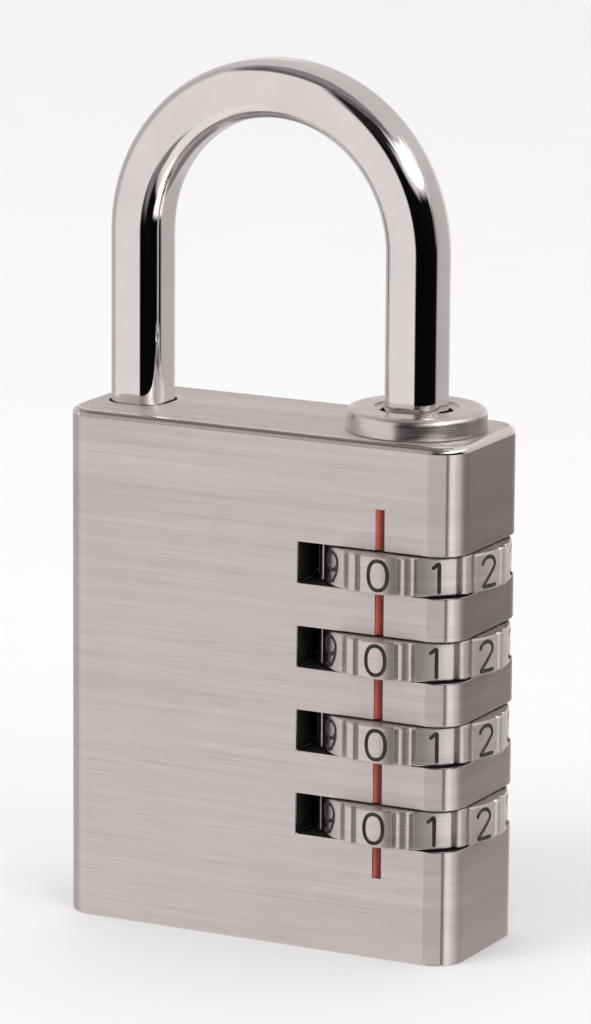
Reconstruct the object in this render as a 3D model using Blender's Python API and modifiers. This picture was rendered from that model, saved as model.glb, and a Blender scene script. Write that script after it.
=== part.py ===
"""A resettable four-dial combination padlock for luggage, modelled piece by piece.

The frame: origin in the middle of the body's bottom face, +X towards the heel of the shackle and the
dials, -Y the front face with the index line, +Z up. Lengths are in metres. The shackle is shut and the
dials show 0-0-0-0, the combination that frees it.
"""
import bpy
import bmesh
import math
from mathutils import Matrix

# Body block
BODY_WIDTH = 0.0400
BODY_DEPTH = 0.0145
BODY_HEIGHT = 0.0476
CORNER_RADIUS = 0.0029
CORNER_SEGMENTS = 6
EDGE_BREAK = 0.0006
EDGE_SEGMENTS = 2

# The dial axis, which is also the axis of the shackle's heel leg
AXIS_X = 0.0125

# Dials and the windows they turn in
DIAL_COUNT = 4
DIAL_PITCH = 0.00777
TOP_DIAL_Z = 0.03584
DIAL_HEIGHT = 0.0035
DIGITS = 10
PAD_RADIUS = 0.0087
PAD_HALF_DEG = 11.5
FLUTE_RADIUS = 0.0084
RIB_HALF_DEG = 4.3
RIB_RADIUS = 0.0088
WINDOW_HEIGHT = 0.0038
WINDOW_LEFT_X = 0.00435
POCKET_RADIUS = 0.00915

# Code sleeves, one inside each dial
SLEEVE_LENGTH = 0.0075
SLEEVE_RADIUS = 0.00465
SLEEVE_CHAMBER_RADIUS = 0.00395
SLEEVE_WEB_BORE = 0.00285
SLEEVE_WEB_HEIGHT = 0.0024
GATE_WIDTH = 0.0024
KEY_WIDTH = 0.0012
KEY_HEIGHT = 0.0020
KEY_REACH = 0.0054
NOTCH_WIDTH = 0.0018
NOTCH_RADIUS = 0.0058

# Bore through the body, from its mouth under the collar down to the base plate
RUNNING_BORE = 0.00495
BORE_LEDGE_Z = 0.0399
TOP_CHAMBER_RADIUS = 0.00395
TOP_CHAMBER_Z = 0.04490
COLLAR_SEAT_RADIUS = 0.0053
ROUND_STEPS = 40

# Shackle
BAR_SIZE = 0.0053
BAR_CORNER = 0.0019
TOE_X = -0.01545
ARCH_CENTRE_Z = 0.06346
ARCH_STEPS = 28
HEEL_BAR_END_Z = 0.0453
TOE_END_Z = 0.0412
TOE_HOLE_FLOOR_Z = 0.0404
TOE_HOLE_SIZE = 0.0059
SPINDLE_RADIUS = 0.00255
SPINDLE_END_Z = 0.0104
SPINDLE_NOSE = 0.0005
LUG_REACH = 0.0037
LUG_WIDTH = 0.0016
LUG_TOP = 0.00105
LUG_BOTTOM = -0.00095

# Collar round the heel leg
COLLAR_RADIUS = 0.0064
COLLAR_TOP_Z = 0.04965
COLLAR_CHAMFER = 0.0007
COLLAR_MOUTH_RADIUS = 0.00385
COLLAR_MOUTH_Z = 0.0482
COLLAR_GUIDE_RADIUS = 0.0033
COLLAR_STEM_RADIUS = 0.0052
COLLAR_STEM_Z = 0.0450
SEAT_GAP = 0.00005

# Base plate, pressed into a recess in the bottom face
PLATE_LEFT_X = 0.0011
PLATE_RIGHT_X = 0.0183
PLATE_HALF_DEPTH = 0.0057
PLATE_CORNER = 0.0030
PLATE_BOTTOM_Z = 0.00015
PLATE_THICKNESS = 0.0020
PLATE_GAP = 0.0001
PLATE_RECESS_Z = 0.00245
SPRING_BOSS_RADIUS = 0.0012
SPRING_BOSS_HEIGHT = 0.0010

# Springs and washer
SHACKLE_SPRING_RADIUS = 0.0019
SHACKLE_SPRING_WIRE = 0.0006
SHACKLE_SPRING_TURNS = 5.5
SLEEVE_SPRING_RADIUS = 0.0042
SLEEVE_SPRING_WIRE = 0.00056
SLEEVE_SPRING_TURNS = 3.5
WASHER_BORE = 0.0029
WASHER_THICKNESS = 0.0005
CLEARANCE = 0.0003

# Detent spring: a flat comb whose fingers lie against the dials' pads
DETENT_ANGLE_DEG = 162.0
DETENT_DISTANCE = 0.0091
DETENT_THICKNESS = 0.0004
DETENT_WIDTH = 0.0040
DETENT_SPINE = 0.0012
DETENT_FINGER_HEIGHT = 0.0026
DETENT_BOTTOM_Z = 0.0026
DETENT_TOP_Z = 0.0388
CHANNEL_GAP = 0.00015

# Index line, paint held in a shallow groove down the front face
INDEX_X = 0.01245
INDEX_WIDTH = 0.00080
INDEX_TOP_Z = 0.0415
INDEX_BOTTOM_Z = 0.0075
INDEX_GROOVE_DEPTH = 0.0003
INDEX_RECESS = 0.00003
INDEX_GAP = 0.00004

OVERSHOOT = 0.0010
WELD = 0.000001

BRUSHED_ZINC = ("brushed_zinc", (0.56, 0.53, 0.52), 0.34, 1.0)
CHROME = ("chrome", (0.80, 0.78, 0.78), 0.06, 1.0)
DIAL_STEEL = ("dial_steel", (0.62, 0.59, 0.58), 0.24, 1.0)
SLEEVE_BRASS = ("sleeve_brass", (0.72, 0.55, 0.28), 0.30, 1.0)
SPRING_STEEL = ("spring_steel", (0.42, 0.42, 0.44), 0.30, 1.0)
PLATE_ZINC = ("plate_zinc", (0.50, 0.48, 0.47), 0.42, 1.0)
INDEX_RED = ("index_red", (0.62, 0.07, 0.03), 0.45, 0.0)


# ---------------------------------------------------------------- scene helpers

def clear_scene():
    for item in list(bpy.data.objects):
        bpy.data.objects.remove(item, do_unlink=True)


def new_collection(name):
    made = bpy.data.collections.new(name)
    bpy.context.scene.collection.children.link(made)
    return made


def finish(name, colour, roughness, metallic):
    """The material of this name, made the first time it is asked for."""
    made = bpy.data.materials.get(name)
    if made is None:
        made = bpy.data.materials.new(name)
        made.use_nodes = True
        shader = made.node_tree.nodes["Principled BSDF"]
        shader.inputs["Base Color"].default_value = (*colour, 1.0)
        shader.inputs["Roughness"].default_value = roughness
        shader.inputs["Metallic"].default_value = metallic
    return made


def place(name, mesh, look=None, at=(0.0, 0.0, 0.0), guide=False):
    """One named object. A guide is a cutter or a tool body, kept out of the part."""
    made = bpy.data.objects.new(name, mesh)
    made.location = at
    if guide:
        CUTTERS.objects.link(made)
        made.hide_render = True
        made.display_type = "WIRE"
    else:
        PARTS.objects.link(made)
        mesh.materials.append(finish(*look))
    return made


def combine(target, tool, operation):
    step = target.modifiers.new(f"{operation.lower()}_{tool.name}", "BOOLEAN")
    step.operation = operation
    step.object = tool
    return step


# ---------------------------------------------------------------- shape helpers

def mesh_from(bm, name):
    mesh = bpy.data.meshes.new(name)
    bm.to_mesh(mesh)
    bm.free()
    return mesh


def box_mesh(name, low, high):
    """A box between two corners."""
    bm = bmesh.new()
    bmesh.ops.create_cube(bm, size=1.0)
    for vert in bm.verts:
        for axis in range(3):
            middle = (low[axis] + high[axis]) / 2
            vert.co[axis] = middle + vert.co[axis] * (high[axis] - low[axis])
    return mesh_from(bm, name)


def polar(centre, radius, angle_deg):
    turn = math.radians(angle_deg)
    return centre[0] + radius * math.cos(turn), centre[1] + radius * math.sin(turn)


def arc(centre, radius, start_deg, end_deg, steps):
    """Points on an arc, both ends included."""
    return [polar(centre, radius, start_deg + (end_deg - start_deg) * i / steps) for i in range(steps + 1)]


def rounded_rectangle(left, right, half_depth, corner, steps):
    """Outline of a rectangle with round corners, lying in the XY plane."""
    points = []
    corners = (
        (right - corner, half_depth - corner, 0.0),
        (left + corner, half_depth - corner, 90.0),
        (left + corner, corner - half_depth, 180.0),
        (right - corner, corner - half_depth, 270.0),
    )
    for x, y, start in corners:
        points += arc((x, y), corner, start, start + 90.0, steps)
    return points


def curve_to_mesh(curve_object, name):
    """The evaluated curve as a welded mesh, with the curve's place kept in the vertices."""
    graph = bpy.context.evaluated_depsgraph_get()
    mesh = bpy.data.meshes.new_from_object(curve_object.evaluated_get(graph))
    mesh.name = name
    mesh.transform(curve_object.matrix_world)
    bm = bmesh.new()
    bm.from_mesh(mesh)
    bmesh.ops.remove_doubles(bm, verts=bm.verts, dist=WELD)
    bmesh.ops.recalc_face_normals(bm, faces=bm.faces)
    bm.to_mesh(mesh)
    bm.free()
    bpy.data.objects.remove(curve_object, do_unlink=True)
    return mesh


def poly_spline(curve, points, cyclic):
    spline = curve.splines.new("POLY")
    spline.points.add(len(points) - 1)
    for point, place_on in zip(spline.points, points):
        point.co = (*place_on, 1.0)
    spline.use_cyclic_u = cyclic


def slab_mesh(name, loops, bottom, top):
    """A flat outline, with holes where it has more than one loop, between two heights."""
    curve = bpy.data.curves.new(name, "CURVE")
    curve.dimensions = "2D"
    curve.fill_mode = "BOTH"
    curve.extrude = (top - bottom) / 2
    for loop in loops:
        poly_spline(curve, [(x, y, 0.0) for x, y in loop], cyclic=True)
    item = bpy.data.objects.new(name, curve)
    CUTTERS.objects.link(item)
    item.location.z = (top + bottom) / 2
    bpy.context.view_layer.update()
    return curve_to_mesh(item, name)


def turned(name, profile, closed, look=None, at=(0.0, 0.0, 0.0), guide=False):
    """A profile of (radius, height) points, down its outer side, turned about the object's own Z."""
    mesh = bpy.data.meshes.new(name)
    edges = [(i, i + 1) for i in range(len(profile) - 1)]
    if closed:
        edges.append((len(profile) - 1, 0))
    mesh.from_pydata([(r, 0.0, z) for r, z in profile], edges, [])
    made = place(name, mesh, look, at, guide)
    screw = made.modifiers.new("turn", "SCREW")
    screw.steps = ROUND_STEPS
    screw.render_steps = ROUND_STEPS
    screw.use_merge_vertices = True
    screw.merge_threshold = WELD
    screw.use_normal_calculate = False
    return made


def coil(name, look, radius, wire, turns, bottom, top):
    """A compression spring round the dial axis, its wire between two heights."""
    points_per_turn = 12
    count = round(turns * points_per_turn)
    curve = bpy.data.curves.new(name, "CURVE")
    curve.dimensions = "3D"
    curve.bevel_depth = wire / 2
    curve.bevel_resolution = 2
    curve.use_fill_caps = True
    low = bottom + wire / 2
    rise = top - bottom - wire
    helix = []
    for i in range(count + 1):
        turn = 2 * math.pi * i / points_per_turn
        helix.append((radius * math.cos(turn), radius * math.sin(turn), low + rise * i / count))
    poly_spline(curve, helix, cyclic=False)
    curve.materials.append(finish(*look))
    made = bpy.data.objects.new(name, curve)
    made.location.x = AXIS_X
    PARTS.objects.link(made)
    return made


def smooth(item, angle_deg=30.0):
    item.data.shade_smooth()
    item.data.set_sharp_from_angle(angle=math.radians(angle_deg))


# ---------------------------------------------------------------- the dials' places

def dial_z(number):
    """Height of the middle of dial 1 (top) to 4 (bottom)."""
    return TOP_DIAL_Z - (number - 1) * DIAL_PITCH


def digit_angle(digit):
    """Direction of a digit's pad, seen from above: 0 faces the front, and 1 follows towards +X."""
    return -90.0 + digit * 360.0 / DIGITS


# ---------------------------------------------------------------- body

def body_block():
    """The die-cast block before it is cut: long edges rounded, ends with a broken edge."""
    bm = bmesh.new()
    bmesh.ops.create_cube(bm, size=1.0)
    for vert in bm.verts:
        vert.co.x *= BODY_WIDTH
        vert.co.y *= BODY_DEPTH
        vert.co.z = BODY_HEIGHT * (vert.co.z + 0.5)
    upright = [e for e in bm.edges if abs(e.verts[0].co.z - e.verts[1].co.z) > BODY_HEIGHT / 2]
    bmesh.ops.bevel(bm, geom=upright, offset=CORNER_RADIUS, segments=CORNER_SEGMENTS, profile=0.5,
                    affect="EDGES")
    rims = [e for e in bm.edges if abs(e.verts[0].co.z - e.verts[1].co.z) < WELD]
    bmesh.ops.bevel(bm, geom=rims, offset=EDGE_BREAK, segments=EDGE_SEGMENTS, profile=0.5, affect="EDGES")
    return place("body", mesh_from(bm, "body"), BRUSHED_ZINC)


def window_outline():
    """Plan of a dial window: open to the front, right and back, with a round end round the dial."""
    reach = BODY_WIDTH
    half_chord = math.sqrt(POCKET_RADIUS ** 2 - (AXIS_X - WINDOW_LEFT_X) ** 2)
    half_turn = math.degrees(math.asin(half_chord / POCKET_RADIUS))
    bulge = arc((AXIS_X, 0.0), POCKET_RADIUS, 180.0 - half_turn, 180.0 + half_turn, 12)
    return [(WINDOW_LEFT_X, reach)] + bulge + [(WINDOW_LEFT_X, -reach), (reach, -reach), (reach, reach)]


def cut_body(body):
    window = slab_mesh("window", [window_outline()], -WINDOW_HEIGHT / 2, WINDOW_HEIGHT / 2)
    for number in range(1, DIAL_COUNT + 1):
        cutter = place(f"cut_window_{number}", window, at=(0.0, 0.0, dial_z(number)), guide=True)
        combine(body, cutter, "DIFFERENCE")

    stepped_bore = [
        (0.0, BODY_HEIGHT + OVERSHOOT),
        (COLLAR_SEAT_RADIUS, BODY_HEIGHT + OVERSHOOT),
        (COLLAR_SEAT_RADIUS, TOP_CHAMBER_Z),
        (TOP_CHAMBER_RADIUS, TOP_CHAMBER_Z),
        (TOP_CHAMBER_RADIUS, BORE_LEDGE_Z),
        (RUNNING_BORE, BORE_LEDGE_Z),
        (RUNNING_BORE, PLATE_RECESS_Z - OVERSHOOT),
        (0.0, PLATE_RECESS_Z - OVERSHOOT),
    ]
    bore = turned("cut_bore", stepped_bore, closed=False, at=(AXIS_X, 0.0, 0.0), guide=True)
    combine(body, bore, "DIFFERENCE")

    keyway = box_mesh("cut_keyway",
                      (AXIS_X - NOTCH_WIDTH / 2, 0.0, PLATE_RECESS_Z - OVERSHOOT),
                      (AXIS_X + NOTCH_WIDTH / 2, NOTCH_RADIUS, BORE_LEDGE_Z - CLEARANCE))
    combine(body, place("cut_keyway", keyway, guide=True), "DIFFERENCE")

    half_width = DETENT_WIDTH / 2 + CLEARANCE
    channel = box_mesh("cut_detent_channel",
                       (DETENT_DISTANCE - CLEARANCE, -half_width, PLATE_RECESS_Z - OVERSHOOT),
                       (DETENT_DISTANCE + DETENT_THICKNESS + CHANNEL_GAP, half_width,
                        DETENT_TOP_Z + CLEARANCE))
    cutter = place("cut_detent_channel", channel, at=(AXIS_X, 0.0, 0.0), guide=True)
    cutter.rotation_euler.z = math.radians(DETENT_ANGLE_DEG)
    combine(body, cutter, "DIFFERENCE")

    recess = slab_mesh("cut_base_recess", [plate_outline(PLATE_GAP)], -OVERSHOOT, PLATE_RECESS_Z)
    combine(body, place("cut_base_recess", recess, guide=True), "DIFFERENCE")

    hole = rounded_rectangle(TOE_X - TOE_HOLE_SIZE / 2, TOE_X + TOE_HOLE_SIZE / 2, TOE_HOLE_SIZE / 2,
                             BAR_CORNER + CLEARANCE, 4)
    toe_hole = slab_mesh("cut_toe_hole", [hole], TOE_HOLE_FLOOR_Z, BODY_HEIGHT + OVERSHOOT)
    combine(body, place("cut_toe_hole", toe_hole, guide=True), "DIFFERENCE")

    front = -BODY_DEPTH / 2
    groove = box_mesh("cut_index_groove",
                      (INDEX_X - INDEX_WIDTH / 2 - INDEX_GAP, front - OVERSHOOT, INDEX_BOTTOM_Z),
                      (INDEX_X + INDEX_WIDTH / 2 + INDEX_GAP, front + INDEX_GROOVE_DEPTH, INDEX_TOP_Z))
    combine(body, place("cut_index_groove", groove, guide=True), "DIFFERENCE")


def index_lines():
    """The painted marks: one above the top window, one on each web and one below the last window."""
    heights = [INDEX_TOP_Z - INDEX_GAP]
    for number in range(1, DIAL_COUNT + 1):
        heights.append(dial_z(number) + WINDOW_HEIGHT / 2)
        heights.append(dial_z(number) - WINDOW_HEIGHT / 2)
    heights.append(INDEX_BOTTOM_Z + INDEX_GAP)
    front = -BODY_DEPTH / 2
    for i in range(0, len(heights), 2):
        name = f"index_line_{i // 2 + 1}"
        mesh = box_mesh(name,
                        (INDEX_X - INDEX_WIDTH / 2, front + INDEX_RECESS, heights[i + 1] + INDEX_GAP),
                        (INDEX_X + INDEX_WIDTH / 2, front + INDEX_GROOVE_DEPTH - INDEX_GAP,
                         heights[i] - INDEX_GAP))
        place(name, mesh, INDEX_RED)


# ---------------------------------------------------------------- dials and sleeves

def dial_outline():
    """Ten round pads, and between each two of them a narrow rib with a fine flute on either side."""
    points = []
    half_step = 180.0 / DIGITS
    flute_deg = (PAD_HALF_DEG + half_step - RIB_HALF_DEG) / 2
    for digit in range(DIGITS):
        pad = digit_angle(digit)
        rib = pad + half_step
        points += arc((0.0, 0.0), PAD_RADIUS, pad - PAD_HALF_DEG, pad + PAD_HALF_DEG, 4)
        points.append(polar((0.0, 0.0), FLUTE_RADIUS, pad + flute_deg))
        points += arc((0.0, 0.0), RIB_RADIUS, rib - RIB_HALF_DEG, rib + RIB_HALF_DEG, 2)
        points.append(polar((0.0, 0.0), FLUTE_RADIUS, pad + 2 * half_step - flute_deg))
    return points


def dial_bore_outline():
    """The dial's bore, with a notch behind every digit for the sleeve's key."""
    points = []
    notch_half_deg = math.degrees(math.asin(NOTCH_WIDTH / 2 / RUNNING_BORE))
    wall_half_deg = 180.0 / DIGITS - notch_half_deg
    notch_floor_half_deg = math.degrees(math.asin(NOTCH_WIDTH / 2 / NOTCH_RADIUS))
    for digit in range(DIGITS):
        middle = digit_angle(digit)
        points += arc((0.0, 0.0), NOTCH_RADIUS, middle - notch_floor_half_deg,
                      middle + notch_floor_half_deg, 1)
        wall = middle + 180.0 / DIGITS
        points += arc((0.0, 0.0), RUNNING_BORE, wall - wall_half_deg, wall + wall_half_deg, 2)
    return points


def dials():
    """Four equal dials, each with its origin on its own turning axis."""
    mesh = slab_mesh("dial", [dial_outline(), dial_bore_outline()], -DIAL_HEIGHT / 2, DIAL_HEIGHT / 2)
    mesh.materials.append(finish(*DIAL_STEEL))
    for number in range(1, DIAL_COUNT + 1):
        made = bpy.data.objects.new(f"dial_{number}", mesh)
        made.location = (AXIS_X, 0.0, dial_z(number))
        PARTS.objects.link(made)


def code_sleeves():
    """The sleeve in each dial: a tube with a web near its top, and in the web the gate for a lug."""
    top = SLEEVE_LENGTH / 2
    web = top - SLEEVE_WEB_HEIGHT
    profile = [
        (SLEEVE_RADIUS, top),
        (SLEEVE_RADIUS, -top),
        (SLEEVE_CHAMBER_RADIUS, -top),
        (SLEEVE_CHAMBER_RADIUS, web),
        (SLEEVE_WEB_BORE, web),
        (SLEEVE_WEB_BORE, top),
    ]
    gate_mesh = box_mesh("cut_gate",
                         (-SLEEVE_CHAMBER_RADIUS, -GATE_WIDTH / 2, web - OVERSHOOT),
                         (0.0, GATE_WIDTH / 2, top + OVERSHOOT))
    key_mesh = box_mesh("tool_key",
                        (-KEY_WIDTH / 2, (SLEEVE_CHAMBER_RADIUS + SLEEVE_RADIUS) / 2, -KEY_HEIGHT / 2),
                        (KEY_WIDTH / 2, KEY_REACH, KEY_HEIGHT / 2))
    for number in range(1, DIAL_COUNT + 1):
        spot = (AXIS_X, 0.0, dial_z(number))
        sleeve = turned(f"code_sleeve_{number}", profile, closed=True, look=SLEEVE_BRASS, at=spot)
        combine(sleeve, place(f"cut_gate_{number}", gate_mesh, at=spot, guide=True), "DIFFERENCE")
        combine(sleeve, place(f"tool_key_{number}", key_mesh, at=spot, guide=True), "UNION")


# ---------------------------------------------------------------- shackle and collar

def bar_curve():
    """The rounded-square bar along both legs and the arch, as a welded mesh."""
    half = BAR_SIZE / 2
    section = bpy.data.curves.new("bar_section", "CURVE")
    section.dimensions = "2D"
    poly_spline(section, [(x, y, 0.0) for x, y in rounded_rectangle(-half, half, half, BAR_CORNER, 3)],
                cyclic=True)
    section_object = bpy.data.objects.new("bar_section", section)
    CUTTERS.objects.link(section_object)
    centre_x = (AXIS_X + TOE_X) / 2
    arch_radius = (AXIS_X - TOE_X) / 2
    route = [(AXIS_X, 0.0, HEEL_BAR_END_Z)]
    route += [(x, 0.0, z) for x, z in arc((centre_x, ARCH_CENTRE_Z), arch_radius, 0.0, 180.0, ARCH_STEPS)]
    route += [(TOE_X, 0.0, TOE_END_Z)]
    path = bpy.data.curves.new("bar_path", "CURVE")
    path.dimensions = "3D"
    path.bevel_mode = "OBJECT"
    path.bevel_object = section_object
    path.use_fill_caps = True
    poly_spline(path, route, cyclic=False)
    path_object = bpy.data.objects.new("bar_path", path)
    CUTTERS.objects.link(path_object)
    bpy.context.view_layer.update()
    mesh = curve_to_mesh(path_object, "shackle")
    bpy.data.objects.remove(section_object, do_unlink=True)
    return mesh


def shackle():
    """One bent bar. Its heel is turned down to a round spindle with a lug under each sleeve's web."""
    made = place("shackle", bar_curve(), CHROME)
    into_bar = HEEL_BAR_END_Z + OVERSHOOT
    profile = [
        (0.0, into_bar),
        (SPINDLE_RADIUS, into_bar),
        (SPINDLE_RADIUS, SPINDLE_END_Z + SPINDLE_NOSE),
        (SPINDLE_RADIUS - SPINDLE_NOSE, SPINDLE_END_Z),
        (0.0, SPINDLE_END_Z),
    ]
    spindle = turned("tool_spindle", profile, closed=False, at=(AXIS_X, 0.0, 0.0), guide=True)
    combine(made, spindle, "UNION")
    for number in range(1, DIAL_COUNT + 1):
        lug = box_mesh(f"tool_lug_{number}", (-LUG_REACH, -LUG_WIDTH / 2, LUG_BOTTOM),
                       (0.0, LUG_WIDTH / 2, LUG_TOP))
        tool = place(f"tool_lug_{number}", lug, at=(AXIS_X, 0.0, dial_z(number)), guide=True)
        combine(made, tool, "UNION")


def shackle_collar():
    """The bush the heel leg slides in: a flange on the body's top, and a stem that stops the top lug."""
    seat = BODY_HEIGHT + SEAT_GAP
    profile = [
        (COLLAR_RADIUS - COLLAR_CHAMFER, COLLAR_TOP_Z),
        (COLLAR_RADIUS, COLLAR_TOP_Z - COLLAR_CHAMFER),
        (COLLAR_RADIUS, seat),
        (COLLAR_STEM_RADIUS, seat),
        (COLLAR_STEM_RADIUS, COLLAR_STEM_Z),
        (COLLAR_GUIDE_RADIUS, COLLAR_STEM_Z),
        (COLLAR_GUIDE_RADIUS, COLLAR_MOUTH_Z),
        (COLLAR_MOUTH_RADIUS, COLLAR_MOUTH_Z),
        (COLLAR_MOUTH_RADIUS, COLLAR_TOP_Z),
    ]
    turned("shackle_collar", profile, closed=True, look=CHROME, at=(AXIS_X, 0.0, 0.0))


# ---------------------------------------------------------------- base plate, springs, detent

def plate_outline(margin):
    return rounded_rectangle(PLATE_LEFT_X - margin, PLATE_RIGHT_X + margin, PLATE_HALF_DEPTH + margin,
                             PLATE_CORNER + margin, 5)


def base_plate():
    """The plate that shuts the mechanism in, with a boss that centres the shackle spring."""
    top = PLATE_BOTTOM_Z + PLATE_THICKNESS
    plate = place("base_plate", slab_mesh("base_plate", [plate_outline(0.0)], PLATE_BOTTOM_Z, top), PLATE_ZINC)
    profile = [
        (0.0, top + SPRING_BOSS_HEIGHT),
        (SPRING_BOSS_RADIUS, top + SPRING_BOSS_HEIGHT),
        (SPRING_BOSS_RADIUS, top - OVERSHOOT),
        (0.0, top - OVERSHOOT),
    ]
    boss = turned("tool_spring_boss", profile, closed=False, at=(AXIS_X, 0.0, 0.0), guide=True)
    combine(plate, boss, "UNION")


def springs_and_washer():
    floor = PLATE_BOTTOM_Z + PLATE_THICKNESS + CLEARANCE
    washer_top = dial_z(DIAL_COUNT) - SLEEVE_LENGTH / 2 - CLEARANCE
    washer_bottom = washer_top - WASHER_THICKNESS
    profile = [
        (SLEEVE_RADIUS, washer_top),
        (SLEEVE_RADIUS, washer_bottom),
        (WASHER_BORE, washer_bottom),
        (WASHER_BORE, washer_top),
    ]
    turned("thrust_washer", profile, closed=True, look=SPRING_STEEL, at=(AXIS_X, 0.0, 0.0))
    coil("sleeve_spring", SPRING_STEEL, SLEEVE_SPRING_RADIUS, SLEEVE_SPRING_WIRE, SLEEVE_SPRING_TURNS,
         floor, washer_bottom - CLEARANCE)
    coil("shackle_spring", SPRING_STEEL, SHACKLE_SPRING_RADIUS, SHACKLE_SPRING_WIRE, SHACKLE_SPRING_TURNS,
         floor, SPINDLE_END_Z - CLEARANCE)


def detent_spring():
    """A flat comb of spring steel in its channel behind the dials: one finger on a pad of each dial."""
    spine_edge = DETENT_WIDTH / 2 - DETENT_SPINE
    outline = [(DETENT_WIDTH / 2, DETENT_TOP_Z)]
    for number in range(1, DIAL_COUNT + 1):
        finger_top = dial_z(number) + DETENT_FINGER_HEIGHT / 2
        finger_bottom = dial_z(number) - DETENT_FINGER_HEIGHT / 2
        if number == 1:
            outline.append((spine_edge, DETENT_TOP_Z))
        outline += [
            (spine_edge, finger_top),
            (-DETENT_WIDTH / 2, finger_top),
            (-DETENT_WIDTH / 2, finger_bottom),
            (spine_edge, finger_bottom),
        ]
    outline += [(spine_edge, DETENT_BOTTOM_Z), (DETENT_WIDTH / 2, DETENT_BOTTOM_Z)]
    mesh = slab_mesh("detent_spring", [outline], 0.0, DETENT_THICKNESS)
    # the outline's plane stands up, its thickness points away from the dials' axis
    stand = Matrix(((0.0, 0.0, 1.0, DETENT_DISTANCE), (1.0, 0.0, 0.0, 0.0), (0.0, 1.0, 0.0, 0.0),
                    (0.0, 0.0, 0.0, 1.0)))
    mesh.transform(stand)
    made = place("detent_spring", mesh, SPRING_STEEL, at=(AXIS_X, 0.0, 0.0))
    made.rotation_euler.z = math.radians(DETENT_ANGLE_DEG)


clear_scene()
PARTS = new_collection("luggage_combination_padlock")
CUTTERS = new_collection("cutters")
block = body_block()
cut_body(block)
index_lines()
dials()
code_sleeves()
shackle()
shackle_collar()
base_plate()
springs_and_washer()
detent_spring()
for item in PARTS.objects:
    if item.type == "MESH":
        smooth(item)
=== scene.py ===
"""Looks of a four-dial combination padlock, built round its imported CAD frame."""

import math

import bmesh
import bpy
from mathutils import Matrix, Vector


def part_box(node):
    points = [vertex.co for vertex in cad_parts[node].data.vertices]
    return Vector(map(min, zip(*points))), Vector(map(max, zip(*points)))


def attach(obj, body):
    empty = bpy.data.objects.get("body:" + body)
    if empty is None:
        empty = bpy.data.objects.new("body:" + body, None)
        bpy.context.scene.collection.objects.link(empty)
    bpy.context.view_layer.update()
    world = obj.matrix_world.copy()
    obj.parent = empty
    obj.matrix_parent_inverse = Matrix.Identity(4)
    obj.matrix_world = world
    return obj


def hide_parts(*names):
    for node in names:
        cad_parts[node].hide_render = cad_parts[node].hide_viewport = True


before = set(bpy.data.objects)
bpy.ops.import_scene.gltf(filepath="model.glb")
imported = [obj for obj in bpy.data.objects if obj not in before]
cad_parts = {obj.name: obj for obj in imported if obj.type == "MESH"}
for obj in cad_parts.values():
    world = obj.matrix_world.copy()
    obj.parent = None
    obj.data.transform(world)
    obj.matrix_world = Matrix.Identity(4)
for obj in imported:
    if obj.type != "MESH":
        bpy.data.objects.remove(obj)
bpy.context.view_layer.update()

# Everything below is modelled in millimetres and scaled to metres when a piece is placed.
MM = 0.001

# Body
CORNER_RADIUS = 2.9
CORNER_STEPS = 16
RIM_RADIUS = 0.6
RIM_STEPS = 5
FOOT_RADIUS = 0.2
EDGE_BREAK = 0.09

# Dials and their windows
AXIS_X = 12.5
DIALS = ("dial_1", "dial_2", "dial_3", "dial_4")
DIGITS = 10
PAD_RADIUS = 8.7
PAD_HALF_DEG = 11.5
FLUTE_RADIUS = 8.42
RIB_HALF_DEG = 4.3
RIB_RADIUS = 8.79
RIB_FOOT_RADIUS = 8.52
DIAL_BORE = 4.98
NOTCH_HALF_WIDTH = 0.9
NOTCH_RADIUS = 5.8
DIAL_CHAMFER = 0.14
WINDOW_HEIGHT = 3.8
WINDOW_LEFT_X = 4.35
POCKET_RADIUS = 9.15
# How far the detent leaves each dial off true, in degrees
DIAL_OFFSETS_DEG = (3.6, 2.6, 3.4, 2.4)

# Digits, cut with a round-ended cutter
DIGIT_HALF_HEIGHT = 1.34
DIGIT_WIDENING = 1.12
STROKE_RADIUS = 0.2
STROKE_LIFT = 0.06

# Bore
RUNNING_BORE = 4.95
BORE_LEDGE_Z = 39.9
TOP_CHAMBER_RADIUS = 3.95
TOP_CHAMBER_Z = 44.9
COLLAR_SEAT_RADIUS = 5.3
PLATE_RECESS_Z = 2.45

# Shackle
BAR_SIZE = 5.3
BAR_CORNER = 1.9
TOE_X = -15.45
ARCH_CENTRE_Z = 63.46
HEEL_BAR_END_Z = 45.3
TOE_END_Z = 41.2
TOE_CHAMFER = 0.4
TOE_HOLE_SIZE = 5.76
TOE_HOLE_FLOOR_Z = 40.4
SPINDLE_RADIUS = 2.55
SPINDLE_END_Z = 10.4
LUG_REACH = 3.7
LUG_HALF_WIDTH = 0.8
LUG_TOP = 1.05
LUG_BOTTOM = -0.95

# Collar, its mouth and its stem
COLLAR_EDGE = 0.8
COLLAR_STEM_RADIUS = 5.2
COLLAR_BORE = 3.3
# Inside this radius the collar's faces are painted black as shade.
COLLAR_SHADE_RADIUS = 3.35
COLLAR_MOUTH_RADIUS = 3.85
COLLAR_MOUTH_WALL = 0.2
COLLAR_MOUTH_DEPTH = 0.45
COLLAR_SEAT_GAP = 0.05

# Base plate
PLATE_THICKNESS = 2.0
PLATE_CORNER = 3.0
PLATE_GAP = 0.1
BOSS_RADIUS = 1.2

# Index line
INDEX_X = 12.55
INDEX_HALF_WIDTH = 0.40
INDEX_TOP_Z = 41.5
INDEX_BOTTOM_Z = 7.5
INDEX_DEPTH = 0.3

# Camera
CAMERA_AZIMUTH = math.radians(27.168)
CAMERA_ELEVATION = math.radians(12.395)
CAMERA_ROLL = math.radians(0.409)
CAMERA_DISTANCE = 0.53905
CAMERA_LENS = 207.49
TARGET_RIGHT = 0.000319
TARGET_UP = 0.008397
TARGET_HEIGHT = 0.030


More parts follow.
